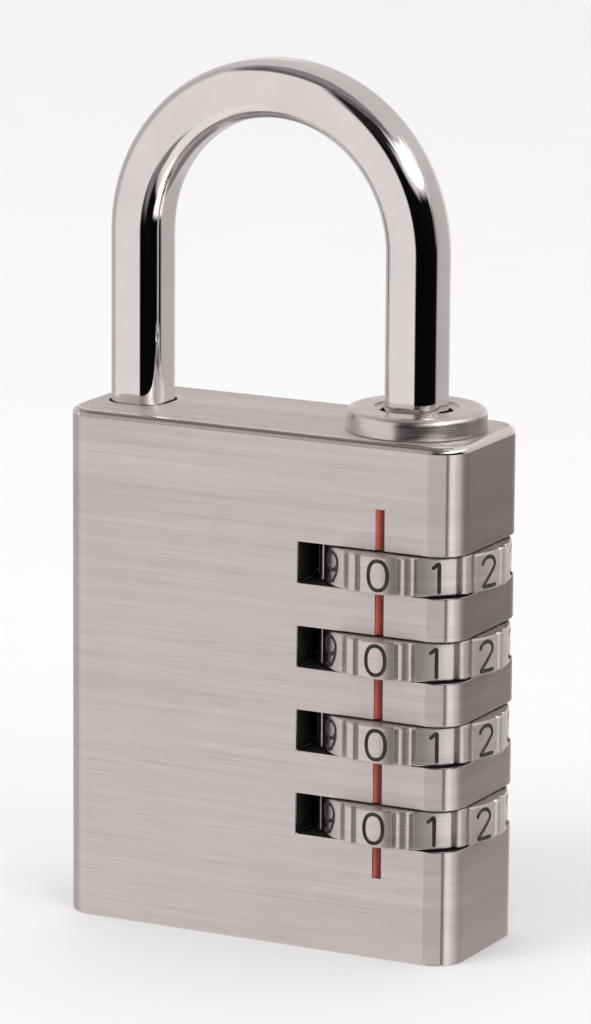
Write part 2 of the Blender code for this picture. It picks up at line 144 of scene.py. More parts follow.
# ---------------------------------------------------------------- shape helpers

def polar(radius, angle_deg, centre=(0.0, 0.0)):
    turn = math.radians(angle_deg)
    return centre[0] + radius * math.cos(turn), centre[1] + radius * math.sin(turn)


def arc(centre, radius_x, radius_y, start_deg, end_deg, steps):
    points = []
    for i in range(steps + 1):
        turn = math.radians(start_deg + (end_deg - start_deg) * i / steps)
        points.append((centre[0] + radius_x * math.cos(turn), centre[1] + radius_y * math.sin(turn)))
    return points


def rounded(corners, closed, steps=5):
    """A polyline of (x, y, radius) corners with each corner replaced by an arc of its radius."""
    points = []
    count = len(corners)
    for i, (x, y, radius) in enumerate(corners):
        ends = not closed and i in (0, count - 1)
        if radius <= 0.0 or ends:
            points.append((x, y))
            continue
        here = Vector((x, y))
        back = Vector(corners[i - 1][:2]) - here
        ahead = Vector(corners[(i + 1) % count][:2]) - here
        half = back.angle(ahead) / 2
        reach = min(radius / math.tan(half), 0.49 * back.length, 0.49 * ahead.length)
        start = here + back.normalized() * reach
        end = here + ahead.normalized() * reach
        for k in range(steps + 1):
            t = k / steps
            # a quadratic through the corner stays inside it and meets both sides flush
            points.append(tuple(start * (1 - t) ** 2 + here * 2 * t * (1 - t) + end * t ** 2))
    return points


def rounded_rectangle(left, right, half_depth, corner, steps):
    points = []
    corners = (
        (right - corner, half_depth - corner, 0.0),
        (left + corner, half_depth - corner, 90.0),
        (left + corner, corner - half_depth, 180.0),
        (right - corner, corner - half_depth, 270.0),
    )
    for x, y, start in corners:
        points += arc((x, y), corner, corner, start, start + 90.0, steps)
    return points


def bridge(bm, first, second):
    """Quads between two closed rings of the same length, or a fan where one ring is a point."""
    count = max(len(first), len(second))
    for i in range(count):
        j = (i + 1) % count
        if len(first) == 1:
            bm.faces.new((first[0], second[i], second[j]))
        elif len(second) == 1:
            bm.faces.new((first[i], second[0], first[j]))
        else:
            bm.faces.new((first[i], second[i], second[j], first[j]))


def ring_of(bm, points, z):
    return [bm.verts.new((x, y, z)) for x, y in points]


def lathe(profile, steps, closed, centre_x=AXIS_X):
    """A profile of (radius, height) points turned about a vertical axis."""
    bm = bmesh.new()
    rings = []
    for radius, z in profile:
        if radius < 1e-6:
            rings.append([bm.verts.new((centre_x, 0.0, z))])
        else:
            circle = [polar(radius, 360.0 * i / steps, (centre_x, 0.0)) for i in range(steps)]
            rings.append(ring_of(bm, circle, z))
    if closed:
        rings.append(rings[0])
    for first, second in zip(rings, rings[1:]):
        bridge(bm, first, second)
    bmesh.ops.recalc_face_normals(bm, faces=bm.faces)
    return bm


def prism(outline, bottom, top):
    bm = bmesh.new()
    low = ring_of(bm, outline, bottom)
    high = ring_of(bm, outline, top)
    bridge(bm, low, high)
    bm.faces.new(low)
    bm.faces.new(high)
    bmesh.ops.recalc_face_normals(bm, faces=bm.faces)
    return bm


def box(low, high):
    bm = bmesh.new()
    bmesh.ops.create_cube(bm, size=1.0)
    for vert in bm.verts:
        for axis in range(3):
            middle = (low[axis] + high[axis]) / 2
            vert.co[axis] = middle + vert.co[axis] * (high[axis] - low[axis])
    return bm


def new_object(name, bm, *materials):
    mesh = bpy.data.meshes.new(name)
    bm.to_mesh(mesh)
    bm.free()
    for material in materials:
        mesh.materials.append(material)
    made = bpy.data.objects.new(name, mesh)
    bpy.context.scene.collection.objects.link(made)
    return made


def apply_modifiers(item):
    graph = bpy.context.evaluated_depsgraph_get()
    graph.update()
    mesh = bpy.data.meshes.new_from_object(item.evaluated_get(graph), preserve_all_data_layers=True,
                                           depsgraph=graph)
    old = item.data
    name = old.name
    item.modifiers.clear()
    item.data = mesh
    bpy.data.meshes.remove(old)
    mesh.name = name


def combine(item, tools, operation, crossing=False):
    """Cuts tools away from item, or joins them to it. New faces keep the tool's own material."""
    for tool in tools:
        step = item.modifiers.new("combine", "BOOLEAN")
        step.operation = operation
        step.solver = "EXACT"
        step.material_mode = "TRANSFER"
        step.use_self = crossing
        step.object = tool
    apply_modifiers(item)
    for tool in tools:
        mesh = tool.data
        bpy.data.objects.remove(tool, do_unlink=True)
        bpy.data.meshes.remove(mesh)


def clean(item, distance=1e-4):
    """Joins points that lie closer than distance and closes the pinholes that this leaves."""
    bm = bmesh.new()
    bm.from_mesh(item.data)
    bmesh.ops.remove_doubles(bm, verts=bm.verts, dist=distance)
    bmesh.ops.dissolve_degenerate(bm, edges=bm.edges, dist=distance)
    bmesh.ops.holes_fill(bm, edges=[e for e in bm.edges if len(e.link_faces) == 1], sides=0)
    bm.to_mesh(item.data)
    bm.free()


def break_edges(item, width, angle_deg, material=-1):
    step = item.modifiers.new("edge_break", "BEVEL")
    step.width = width
    step.segments = 2
    step.limit_method = "ANGLE"
    step.angle_limit = math.radians(angle_deg)
    step.use_clamp_overlap = True
    step.material = material
    apply_modifiers(item)


def settle(item, body, nodes, angle_deg=35.0):
    """Shading, size and place of a finished piece: it rides on body and stands for the CAD nodes."""
    item.data.shade_smooth()
    item.data.set_sharp_from_angle(angle=math.radians(angle_deg))
    item.data.transform(Matrix.Scale(MM, 4))
    weighted = item.modifiers.new("flat_faces", "WEIGHTED_NORMAL")
    weighted.mode = "FACE_AREA_WITH_ANGLE"
    weighted.weight = 80
    weighted.keep_sharp = True
    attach(item, body)
    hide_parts(*nodes)
    return item


# ---------------------------------------------------------------- material helpers

class Nodes:
    """Short ways to add and link the nodes of one tree."""

    def __init__(self, tree):
        self.tree = tree
        self.column = 0

    def add(self, kind, **settings):
        node = self.tree.nodes.new(kind)
        self.column += 1
        node.location = (180 * self.column, 0)
        for key, value in settings.items():
            setattr(node, key, value)
        return node

    def link(self, source, target):
        self.tree.links.new(source, target)

    def feed(self, socket, value):
        if isinstance(value, bpy.types.NodeSocket):
            self.link(value, socket)
        else:
            socket.default_value = value

    def math(self, operation, a, b=0.0, clamp=False):
        node = self.add("ShaderNodeMath", operation=operation, use_clamp=clamp)
        self.feed(node.inputs[0], a)
        self.feed(node.inputs[1], b)
        return node.outputs[0]

    def ramp(self, value, low, high, to_low=0.0, to_high=1.0, smooth=True):
        node = self.add("ShaderNodeMapRange")
        node.interpolation_type = "SMOOTHSTEP" if smooth else "LINEAR"
        self.feed(node.inputs["Value"], value)
        node.inputs["From Min"].default_value = low
        node.inputs["From Max"].default_value = high
        node.inputs["To Min"].default_value = to_low
        node.inputs["To Max"].default_value = to_high
        return node.outputs[0]

    def mix(self, factor, a, b):
        node = self.add("ShaderNodeMix", data_type="RGBA")
        self.feed(node.inputs[0], factor)
        self.feed(node.inputs[6], a)
        self.feed(node.inputs[7], b)
        return node.outputs[2]

    def mix_vector(self, factor, a, b):
        node = self.add("ShaderNodeMix", data_type="VECTOR")
        self.feed(node.inputs[0], factor)
        self.feed(node.inputs[4], a)
        self.feed(node.inputs[5], b)
        return node.outputs[1]

    def place(self):
        return self.add("ShaderNodeTexCoord").outputs["Object"]

    def scaled(self, vector, scale):
        node = self.add("ShaderNodeMapping")
        self.link(vector, node.inputs["Vector"])
        node.inputs["Scale"].default_value = scale
        return node.outputs[0]

    def noise(self, vector, scale=1.0, detail=2.0, roughness=0.5):
        node = self.add("ShaderNodeTexNoise")
        self.link(vector, node.inputs["Vector"])
        node.inputs["Scale"].default_value = scale
        node.inputs["Detail"].default_value = detail
        node.inputs["Roughness"].default_value = roughness
        return node.outputs["Fac"]

    def bump(self, height, strength, distance, normal=None):
        node = self.add("ShaderNodeBump")
        node.inputs["Strength"].default_value = strength
        node.inputs["Distance"].default_value = distance
        self.link(height, node.inputs["Height"])
        if normal is not None:
            self.link(normal, node.inputs["Normal"])
        return node.outputs[0]

    def lapped_normal(self):
        """The shading normal, bent where the body's front turns to +X: flat at first, then turning quickly.

        The mesh has a plain round corner there, so this changes only how the corner shines.
        """
        normal = self.add("ShaderNodeNewGeometry").outputs["Normal"]
        split = self.add("ShaderNodeSeparateXYZ")
        self.link(normal, split.inputs[0])
        turned = 0.0
        for low, high, gain in ((0.0, 0.06, 0.11), (0.56, 0.665, 0.55), (0.665, 1.0, 0.34)):
            part = self.ramp(split.outputs[0], low, high, 0.0, gain, smooth=False)
            turned = self.math("ADD", part, turned)
        tipped = self.math("MULTIPLY", self.ramp(split.outputs[0], 0.60, 0.68, 0.0, -0.30),
                           self.ramp(split.outputs[0], 0.88, 0.78))
        squared = self.math("MULTIPLY", turned, turned)
        ahead = self.math("SQRT", self.math("SUBTRACT", 1.0, squared, clamp=True))
        lapped = self.add("ShaderNodeCombineXYZ")
        self.link(turned, lapped.inputs[0])
        self.link(self.math("MULTIPLY", ahead, -1.0), lapped.inputs[1])
        self.link(tipped, lapped.inputs[2])
        upright = self.ramp(self.math("ABSOLUTE", split.outputs[2]), 0.3, 0.15)
        corner = self.math("MULTIPLY", self.math("GREATER_THAN", split.outputs[0], 0.0),
                           self.math("LESS_THAN", split.outputs[1], 0.0))
        return self.mix_vector(self.math("MULTIPLY", corner, upright), normal, lapped.outputs[0])


def new_material(name, roughness, metallic, anisotropy=0.0):
    made = bpy.data.materials.new(name)
    made.use_nodes = True
    shader = made.node_tree.nodes["Principled BSDF"]
    shader.inputs["Roughness"].default_value = roughness
    shader.inputs["Metallic"].default_value = metallic
    shader.inputs["Anisotropic"].default_value = anisotropy
    return made, shader, Nodes(made.node_tree)


def brushed_metal(name, light, dark, roughness, anisotropy, coarse=1.0, wear=0.5, painted_side_shade=1.0,
                  lapped=False):
    """Metal brushed along the horizontal: long streaks on upright faces, streaks along X on level ones.

    Faces turned to X get a painted shade, darkest at the top and less so towards the bottom.
    """
    made, shader, n = new_material(name, roughness, 1.0, anisotropy)
    spot = n.place()
    facing = n.add("ShaderNodeTexCoord").outputs["Normal"]
    split = n.add("ShaderNodeSeparateXYZ")
    n.link(facing, split.inputs[0])
    level = n.ramp(n.math("ABSOLUTE", split.outputs[2]), 0.6, 0.8)

    def streaks(along, across, detail):
        upright = n.scaled(spot, (along, along, across))
        flat = n.scaled(spot, (along, across, along))
        return n.noise(n.mix_vector(level, upright, flat), 1.0, detail, 0.6)

    fine = streaks(90.0, 9000.0 * coarse, 2.0)
    broad = streaks(28.0, 1500.0 * coarse, 3.0)
    drift = streaks(14.0, 420.0 * coarse, 1.0)
    marks = streaks(150.0, 5200.0 * coarse, 1.0)
    cloud = n.noise(spot, 90.0, 3.0, 0.6)
    tone = n.math("ADD", n.math("MULTIPLY", fine, 0.30), n.math("MULTIPLY", broad, 0.45))
    tone = n.math("ADD", tone, n.math("MULTIPLY", drift, 0.25))
    tone = n.ramp(tone, 0.34, 0.66, smooth=False)
    colour = n.mix(tone, (*dark, 1.0), (*light, 1.0))
    scratch = n.ramp(marks, 0.66, 0.74, 0.0, wear)
    colour = n.mix(scratch, colour, tuple(c * 0.55 for c in dark) + (1.0,))
    colour = n.mix(n.ramp(cloud, 0.35, 0.75, 0.0, 0.10), colour, tuple(c * 0.8 for c in dark) + (1.0,))
    # Painted shade: faces turned to X are darkened, most at the top.
    if painted_side_shade < 1.0:
        sideways = n.ramp(n.math("ABSOLUTE", split.outputs[0]), 0.86, 0.99)
        place = n.add("ShaderNodeSeparateXYZ")
        n.link(spot, place.inputs[0])
        painted_shade_by_height = n.ramp(place.outputs[2], 0.0, 0.030, 0.35, 1.0, smooth=False)
        painted_side_shade_colour = n.mix(n.math("MULTIPLY", painted_shade_by_height, sideways), (1.0, 1.0, 1.0, 1.0),
                      (painted_side_shade, painted_side_shade * 0.96, painted_side_shade * 0.95, 1.0))
        product = n.add("ShaderNodeMix", data_type="RGBA", blend_type="MULTIPLY")
        product.inputs[0].default_value = 1.0
        n.link(colour, product.inputs[6])
        n.link(painted_side_shade_colour, product.inputs[7])
        colour = product.outputs[2]
    n.link(colour, shader.inputs["Base Color"])
    rough = n.math("ADD", n.ramp(fine, 0.2, 0.8, roughness - 0.06, roughness + 0.06, smooth=False),
                   n.math("MULTIPLY", cloud, 0.03))
    n.link(rough, shader.inputs["Roughness"])
    height = n.math("ADD", fine, n.math("MULTIPLY", marks, -0.6))
    normal = n.lapped_normal() if lapped else None
    n.link(n.bump(height, 0.25, 0.00002, normal), shader.inputs["Normal"])
    across = n.add("ShaderNodeCombineXYZ")
    across.inputs[1].default_value = 0.02
    across.inputs[2].default_value = 1.0
    n.link(across.outputs[0], shader.inputs["Tangent"])
    return made


def polished_metal(name, colour, roughness, haze=0.5, grain=0.0):
    """Plated metal: nearly clear, with handling haze and a few hairline marks."""
    made, shader, n = new_material(name, roughness, 1.0)
    spot = n.place()
    cloud = n.noise(spot, 160.0, 4.0, 0.6)
    hair = n.noise(n.scaled(spot, (900.0, 900.0, 60.0)), 1.0, 2.0, 0.5)
    ripple = n.noise(spot, 320.0, 2.0, 0.5)
    shade = n.mix(n.ramp(cloud, 0.35, 0.7, 0.0, haze), (*colour, 1.0),
                  tuple(c * 0.88 for c in colour) + (1.0,))
    n.link(shade, shader.inputs["Base Color"])
    smear = n.ramp(cloud, 0.4, 0.75, roughness, roughness * 1.6, smooth=False)
    marks = n.ramp(hair, 0.62, 0.72, 0.0, 0.05 + grain)
    n.link(n.math("ADD", smear, marks), shader.inputs["Roughness"])
    height = n.math("ADD", ripple, n.math("MULTIPLY", hair, 0.15))
    n.link(n.bump(height, 0.10, 0.00003), shader.inputs["Normal"])
    return made


def enamel(name, bright, deep, roughness, middle, half):
    """Red paint in its groove, painted lighter on the left and darker to the right as painted shade of the
    groove, with grain.
    """
    made, shader, n = new_material(name, roughness, 0.0)
    spot = n.place()
    split = n.add("ShaderNodeSeparateXYZ")
    n.link(spot, split.inputs[0])
    grain = n.noise(n.scaled(spot, (2600.0, 2600.0, 500.0)), 1.0, 3.0, 0.6)
    # Painted shade: darker across the groove towards the right, then grain added.
    painted_shade_and_grain = n.ramp(split.outputs[0], (middle - 0.8 * half) * MM, (middle + 0.15 * half) * MM)
    painted_shade_and_grain = n.math("ADD", painted_shade_and_grain, n.math("MULTIPLY", n.math("SUBTRACT", grain, 0.5), 0.5), clamp=True)
    n.link(n.mix(painted_shade_and_grain, (*bright, 1.0), (*deep, 1.0)), shader.inputs["Base Color"])
    n.link(n.ramp(grain, 0.2, 0.8, roughness - 0.08, roughness + 0.1), shader.inputs["Roughness"])
    n.link(n.bump(grain, 0.3, 0.00004), shader.inputs["Normal"])
    return made


def paint(name, colour, deep, roughness):
    made, shader, n = new_material(name, roughness, 0.0)
    spot = n.place()
    grain = n.noise(n.scaled(spot, (2600.0, 2600.0, 700.0)), 1.0, 3.0, 0.6)
    n.link(n.mix(n.ramp(grain, 0.3, 0.7), (*deep, 1.0), (*colour, 1.0)), shader.inputs["Base Color"])
    n.link(n.ramp(grain, 0.2, 0.8, roughness - 0.08, roughness + 0.1), shader.inputs["Roughness"])
    n.link(n.bump(grain, 0.3, 0.00004), shader.inputs["Normal"])
    return made


# The body's zinc and the collar carry painted shade on their faces turned to X.
ZINC = brushed_metal("brushed_zinc_fine", (0.98, 0.93, 0.92), (0.82, 0.77, 0.76), 0.44, 1.0, wear=0.3,
                     painted_side_shade=0.43, lapped=True)
ZINC_RIM = polished_metal("zinc_worn_rim", (0.96, 0.92, 0.91), 0.15, 0.4, 0.05)
# A darker copy of the worn rim metal: painted shade for the front rim.
ZINC_RIM_PAINTED_SHADE = polished_metal("zinc_rim_painted_shade", (0.46, 0.43, 0.42), 0.22, 0.5, 0.05)
# Near-black paint put where there is only shade: the window walls, the bore and the inside of the collar.
PAINTED_SHADE_BLACK = paint("painted_shade_black", (0.016, 0.014, 0.014), (0.008, 0.007, 0.007), 0.6)
ZINC_CUT = polished_metal("zinc_cut_edge", (0.66, 0.62, 0.61), 0.20, 0.6, 0.05)
CHROME = polished_metal("chrome_fine", (0.84, 0.82, 0.82), 0.045)
DIAL = brushed_metal("dial_turned", (0.84, 0.79, 0.78), (0.68, 0.64, 0.63), 0.36, 0.95, 1.6, 0.3)
COLLAR = brushed_metal("collar_turned", (0.84, 0.79, 0.77), (0.62, 0.58, 0.56), 0.27, 0.75, 1.5, 0.2,
                       painted_side_shade=0.5)
PLATE = brushed_metal("plate_cast", (0.56, 0.53, 0.52), (0.42, 0.40, 0.39), 0.42, 0.2, 0.6)
SPRING = polished_metal("spring_wire", (0.46, 0.46, 0.48), 0.26)
BRASS = brushed_metal("turned_brass", (0.76, 0.58, 0.30), (0.62, 0.46, 0.22), 0.30, 0.3)
RED = enamel("index_enamel", (0.56, 0.09, 0.05), (0.10, 0.012, 0.008), 0.40, INDEX_X, INDEX_HALF_WIDTH)
DIGIT_PAINT = paint("digit_enamel", (0.045, 0.038, 0.036), (0.015, 0.012, 0.012), 0.45)


# ---------------------------------------------------------------- places from the frame

def in_mm(node):
    low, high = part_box(node)
    return low / MM, high / MM


def middle_z(node):
    low, high = in_mm(node)
    return (low.z + high.z) / 2


# The body's finishes, with a darker rim copy that is painted shade, and the place of each in its list of
# materials
BODY_FINISHES = (ZINC, ZINC_CUT, ZINC_RIM, ZINC_RIM_PAINTED_SHADE)
BRUSHED, CUT, RIM, PAINTED_SHADE_RIM = range(4)

DIAL_Z = [middle_z(node) for node in DIALS]
BODY_LOW, BODY_HIGH = in_mm("body")
FRONT_Y = BODY_LOW.y


# ---------------------------------------------------------------- body

def window_outline():
    reach = 60.0
    half_turn = math.degrees(math.acos((AXIS_X - WINDOW_LEFT_X) / POCKET_RADIUS))
    bulge = arc((AXIS_X, 0.0), POCKET_RADIUS, POCKET_RADIUS, 180.0 - half_turn, 180.0 + half_turn, 20)
    return [(WINDOW_LEFT_X, reach)] + bulge + [(WINDOW_LEFT_X, -reach), (reach, -reach), (reach, reach)]


def make_body():
    bm = box(BODY_LOW, BODY_HIGH)
    upright = [e for e in bm.edges if abs(e.verts[0].co.z - e.verts[1].co.z) > 1.0]
    bmesh.ops.bevel(bm, geom=upright, offset=CORNER_RADIUS, segments=CORNER_STEPS, profile=0.5,
                    affect="EDGES")
    for level, radius, finish in ((BODY_HIGH.z, RIM_RADIUS, RIM), (BODY_LOW.z, FOOT_RADIUS, BRUSHED)):
        rims = [e for e in bm.edges if all(abs(v.co.z - level) < 1e-3 for v in e.verts)]
        bmesh.ops.bevel(bm, geom=rims, offset=radius, segments=RIM_STEPS, profile=0.5, affect="EDGES",
                        material=finish)
    bm.normal_update()
    # Rim faces turned to the front get the darker rim copy: painted shade.
    for face in bm.faces:
        if face.material_index == RIM and face.normal.y < -0.2 and abs(face.normal.x) < 0.35:
            face.material_index = PAINTED_SHADE_RIM
    body = new_object("body_fine", bm, *BODY_FINISHES)

    tools = []
    for number, z in enumerate(DIAL_Z):
        half = WINDOW_HEIGHT / 2
        window = prism(window_outline(), z - half, z + half)
        # The windows' walls take the near-black painted shade.
        tools.append(new_object(f"tool_window_{number}", window, PAINTED_SHADE_BLACK))
    stepped_bore = [
        (0.0, BODY_HIGH.z + 5.0),
        (COLLAR_SEAT_RADIUS, BODY_HIGH.z + 5.0),
        (COLLAR_SEAT_RADIUS, TOP_CHAMBER_Z),
        (TOP_CHAMBER_RADIUS, TOP_CHAMBER_Z),
        (TOP_CHAMBER_RADIUS, BORE_LEDGE_Z),
        (RUNNING_BORE, BORE_LEDGE_Z),
        (RUNNING_BORE, PLATE_RECESS_Z - 1.0),
        (0.0, PLATE_RECESS_Z - 1.0),
    ]
    # The bore's walls take the near-black painted shade.
    tools.append(new_object("tool_bore", lathe(stepped_bore, 64, False), PAINTED_SHADE_BLACK))
    plate_low, plate_high = in_mm("base_plate")
    recess = rounded_rectangle(plate_low.x - PLATE_GAP, plate_high.x + PLATE_GAP, plate_high.y + PLATE_GAP,
                               PLATE_CORNER + PLATE_GAP, 8)
    tools.append(new_object("tool_recess", prism(recess, -5.0, PLATE_RECESS_Z), ZINC_CUT))
    half = TOE_HOLE_SIZE / 2
    hole = rounded_rectangle(TOE_X - half, TOE_X + half, half, BAR_CORNER + 0.3, 10)
    tools.append(new_object("tool_toe_hole", prism(hole, TOE_HOLE_FLOOR_Z, BODY_HIGH.z + 5.0), ZINC_CUT))
    groove = box((INDEX_X - INDEX_HALF_WIDTH, FRONT_Y - 5.0, INDEX_BOTTOM_Z),
                 (INDEX_X + INDEX_HALF_WIDTH, FRONT_Y + INDEX_DEPTH, INDEX_TOP_Z))
    tools.append(new_object("tool_groove", groove, ZINC_CUT))
    combine(body, tools, "DIFFERENCE")
    clean(body)
    break_edges(body, EDGE_BREAK, 40.0, material=CUT)
    return settle(body, "lock_body", ["body"])


# ---------------------------------------------------------------- index line

def make_index_lines():
    """Enamel in the groove: level with its rim at both sides and sunk in the middle, as it dried."""
    edges = [INDEX_TOP_Z]
    for z in DIAL_Z:
        edges += [z + WINDOW_HEIGHT / 2 + EDGE_BREAK, z - WINDOW_HEIGHT / 2 - EDGE_BREAK]
    edges.append(INDEX_BOTTOM_Z)
    across = 10
    for number in range(len(edges) // 2):
        top, bottom = edges[2 * number], edges[2 * number + 1]
        along = max(4, round((top - bottom) / 0.35))
        bm = bmesh.new()
        rows = []
        for j in range(along + 1):
            z = bottom + (top - bottom) * j / along
            row = []
            for i in range(across + 1):
                u = 2.0 * i / across - 1.0
                sink = 0.04 + 0.20 * (1.0 - u * u) + 0.012 * math.sin(3.1 * z + 2.0 * u)
                row.append(bm.verts.new((INDEX_X + u * INDEX_HALF_WIDTH, FRONT_Y + sink, z)))
            rows.append(row)
        for low, high in zip(rows, rows[1:]):
            for i in range(across):
                bm.faces.new((low[i], low[i + 1], high[i + 1], high[i]))
        rim = bmesh.ops.extrude_face_region(bm, geom=list(bm.faces))
        for vert in (v for v in rim["geom"] if isinstance(v, bmesh.types.BMVert)):
            vert.co.y = FRONT_Y + INDEX_DEPTH - 0.01
        bmesh.ops.recalc_face_normals(bm, faces=bm.faces)
        item = new_object(f"index_enamel_{number + 1}", bm, RED)
        settle(item, "lock_body", [f"index_line_{number + 1}"], 50.0)


# ---------------------------------------------------------------- dials

def dial_outline():
    """One turn of the dial's plan: ten round pads, and between them a rib with a flute on each side."""
    corners = []
    half_step = 180.0 / DIGITS
    flute_deg = (PAD_HALF_DEG + half_step - RIB_HALF_DEG) / 2
    for digit in range(DIGITS):
        pad = -90.0 + digit * 360.0 / DIGITS
        rib = pad + half_step
        for i in range(11):
            angle = pad - PAD_HALF_DEG + 2 * PAD_HALF_DEG * i / 10
            corners.append((*polar(PAD_RADIUS, angle), 0.06 if i in (0, 10) else 0.0))
        corners.append((*polar(FLUTE_RADIUS, pad + flute_deg), 0.08))
        for i in range(9):
            along = i / 4.0 - 1.0
            rise = math.sqrt(1.0 - (0.97 * along) ** 2)
            radius = RIB_FOOT_RADIUS + (RIB_RADIUS - RIB_FOOT_RADIUS) * rise
            corners.append((*polar(radius, rib + RIB_HALF_DEG * along), 0.0))
        corners.append((*polar(FLUTE_RADIUS, pad + 2 * half_step - flute_deg), 0.08))
    return rounded(corners, closed=True, steps=4)


def bore_point(x, y):
    """The dial's bore in the direction of an outline point, with a notch behind each digit."""
    angle = math.degrees(math.atan2(y, x))
    off = (angle + 90.0 + 18.0) % 36.0 - 18.0
    notch = abs(off) < math.degrees(math.asin(NOTCH_HALF_WIDTH / NOTCH_RADIUS))
    return polar(NOTCH_RADIUS if notch else DIAL_BORE, angle)


def superellipse(half_width, half_height, power, steps):
    points = []
    for i in range(steps):
        turn = 2 * math.pi * i / steps
        c, s = math.cos(turn), math.sin(turn)
        points.append((math.copysign(abs(c) ** (2 / power), c) * half_width,
                       math.copysign(abs(s) ** (2 / power), s) * half_height))
    return points


def digit_strokes():
    """Centre lines of the ten digits, as (digit, pass, closed, points). Strokes of one pass never meet."""
    top = DIGIT_HALF_HEIGHT
    hook = [(0.62, top - 0.12), (0.25, top), (-0.2, top - 0.12), (-0.58, 0.55), (-0.74, 0.0), (-0.76, -0.5)]
    bowl = arc((0.0, -0.53), 0.76, 0.81, 0.0, 345.0, 23)
    rows = [
        (0, 0, True, superellipse(0.82, top, 2.25, 40)),
        (1, 0, False, rounded([(-0.36, 0.88, 0), (0.12, top, 0.12), (0.12, -top, 0)], False)),
        (2, 0, False, rounded([(*p, 0) for p in arc((0.0, top - 0.70), 0.74, 0.70, 168.0, -32.0, 14)]
                              + [(-0.74, -top, 0.10), (0.80, -top, 0)], False)),
        (3, 0, False, arc((-0.04, top - 0.66), 0.68, 0.66, 158.0, -84.0, 16)),
        (3, 1, False, arc((-0.04, 0.72 - top), 0.78, 0.72, 86.0, -160.0, 16)),
        (4, 0, False, [(0.34, -top), (0.34, top)]),
        (4, 1, False, rounded([(0.34, top, 0), (-0.78, -0.50, 0.42), (0.82, -0.50, 0)], False)),
        (5, 0, False, rounded([(0.72, top, 0), (-0.56, top, 0.1), (-0.66, 0.12, 0)], False)),
        (5, 1, False, arc((-0.02, 0.83 - top), 0.80, 0.83, 142.0, -155.0, 18)),
        (6, 0, True, arc((0.0, -0.53), 0.76, 0.81, 0.0, 345.0, 23)),
        (6, 1, False, hook),
        (7, 0, False, rounded([(-0.78, top, 0), (0.78, top, 0.10), (-0.22, -top, 0)], False)),
        (8, 0, True, arc((0.0, 0.68), 0.64, 0.66, 0.0, 345.0, 23)),
        (8, 1, True, arc((0.0, -0.62), 0.76, 0.72, 0.0, 345.0, 23)),
        (9, 0, True, [(-x, -y) for x, y in bowl]),
        (9, 1, False, [(-x, -y) for x, y in hook]),
    ]
    return rows


def cutter_path(bm, digit, points, closed):
    """A round-ended cutter's track round the pad of one digit."""
    reach = PAD_RADIUS + STROKE_LIFT
    base = math.radians(-90.0 + digit * 360.0 / DIGITS)
    track = []
    for u, v in points:
        turn = base + u * DIGIT_WIDENING / PAD_RADIUS
        track.append((Vector((reach * math.cos(turn), reach * math.sin(turn), v)),
                      Vector((math.cos(turn), math.sin(turn), 0.0))))
    sides = 10
    rings = []
    count = len(track)
    for i, (spot, out) in enumerate(track):
        ahead = track[(i + 1) % count][0] if closed or i < count - 1 else spot
        back = track[i - 1][0] if closed or i > 0 else spot
        tangent = (ahead - back).normalized()
        side = out.cross(tangent).normalized()
        lift = tangent.cross(side)
        shifts = [(0.0, 1.0)]
        if not closed and i == 0:
            shifts = [(-0.95, 0.35), (-0.6, 0.8), (0.0, 1.0)]
        if not closed and i == count - 1:
            shifts = [(0.0, 1.0), (0.6, 0.8), (0.95, 0.35)]
        for shift, size in shifts:
            ring = []
            for k in range(sides):
                turn = 2 * math.pi * k / sides
                offset = side * math.cos(turn) + lift * math.sin(turn)
                along = tangent * shift * STROKE_RADIUS
                ring.append(bm.verts.new(spot + along + offset * size * STROKE_RADIUS))
            rings.append(ring)
    if closed:
        rings.append(rings[0])
    for first, second in zip(rings, rings[1:]):
        bridge(bm, first, second)
    if not closed:
        bm.faces.new(rings[0])
        bm.faces.new(rings[-1])


def dial_mesh(half_height):
    bm = bmesh.new()
    outer = dial_outline()
    inner = [bore_point(x, y) for x, y in outer]
    drawn_in = []
    for x, y in outer:
        size = (math.hypot(x, y) - DIAL_CHAMFER) / math.hypot(x, y)
        drawn_in.append((x * size, y * size))
    level = half_height - DIAL_CHAMFER
    loops = [
        ring_of(bm, inner, -half_height),
        ring_of(bm, drawn_in, -half_height),
        ring_of(bm, outer, -level),
        ring_of(bm, outer, level),
        ring_of(bm, drawn_in, half_height),
        ring_of(bm, inner, half_height),
    ]
    for first, second in zip(loops, loops[1:] + loops[:1]):
        bridge(bm, first, second)
    bmesh.ops.recalc_face_normals(bm, faces=bm.faces)
    item = new_object("dial_master", bm, DIAL, DIGIT_PAINT)
    tools = []
    for step in (0, 1):
        cutter = bmesh.new()
        for digit, turn, closed, points in digit_strokes():
            if turn == step:
                cutter_path(cutter, digit, points, closed)
        bmesh.ops.recalc_face_normals(cutter, faces=cutter.faces)
        tools.append(new_object(f"tool_digits_{step}", cutter, DIGIT_PAINT))
    combine(item, tools, "DIFFERENCE", crossing=True)
    clean(item, 1e-3)
    mesh = item.data
    bpy.data.objects.remove(item, do_unlink=True)
    return mesh


def make_dials():
    low, high = in_mm("dial_1")
    master = dial_mesh((high.z - low.z) / 2)
    for node, z, off in zip(DIALS, DIAL_Z, DIAL_OFFSETS_DEG):
        mesh = master.copy()
        mesh.name = f"{node}_fine"
        item = bpy.data.objects.new(f"{node}_fine", mesh)
        bpy.context.scene.collection.objects.link(item)
        mesh.transform(Matrix.Translation((AXIS_X, 0.0, z)) @ Matrix.Rotation(math.radians(off), 4, "Z"))
        settle(item, node, [node], 32.0)


# ---------------------------------------------------------------- shackle and collar

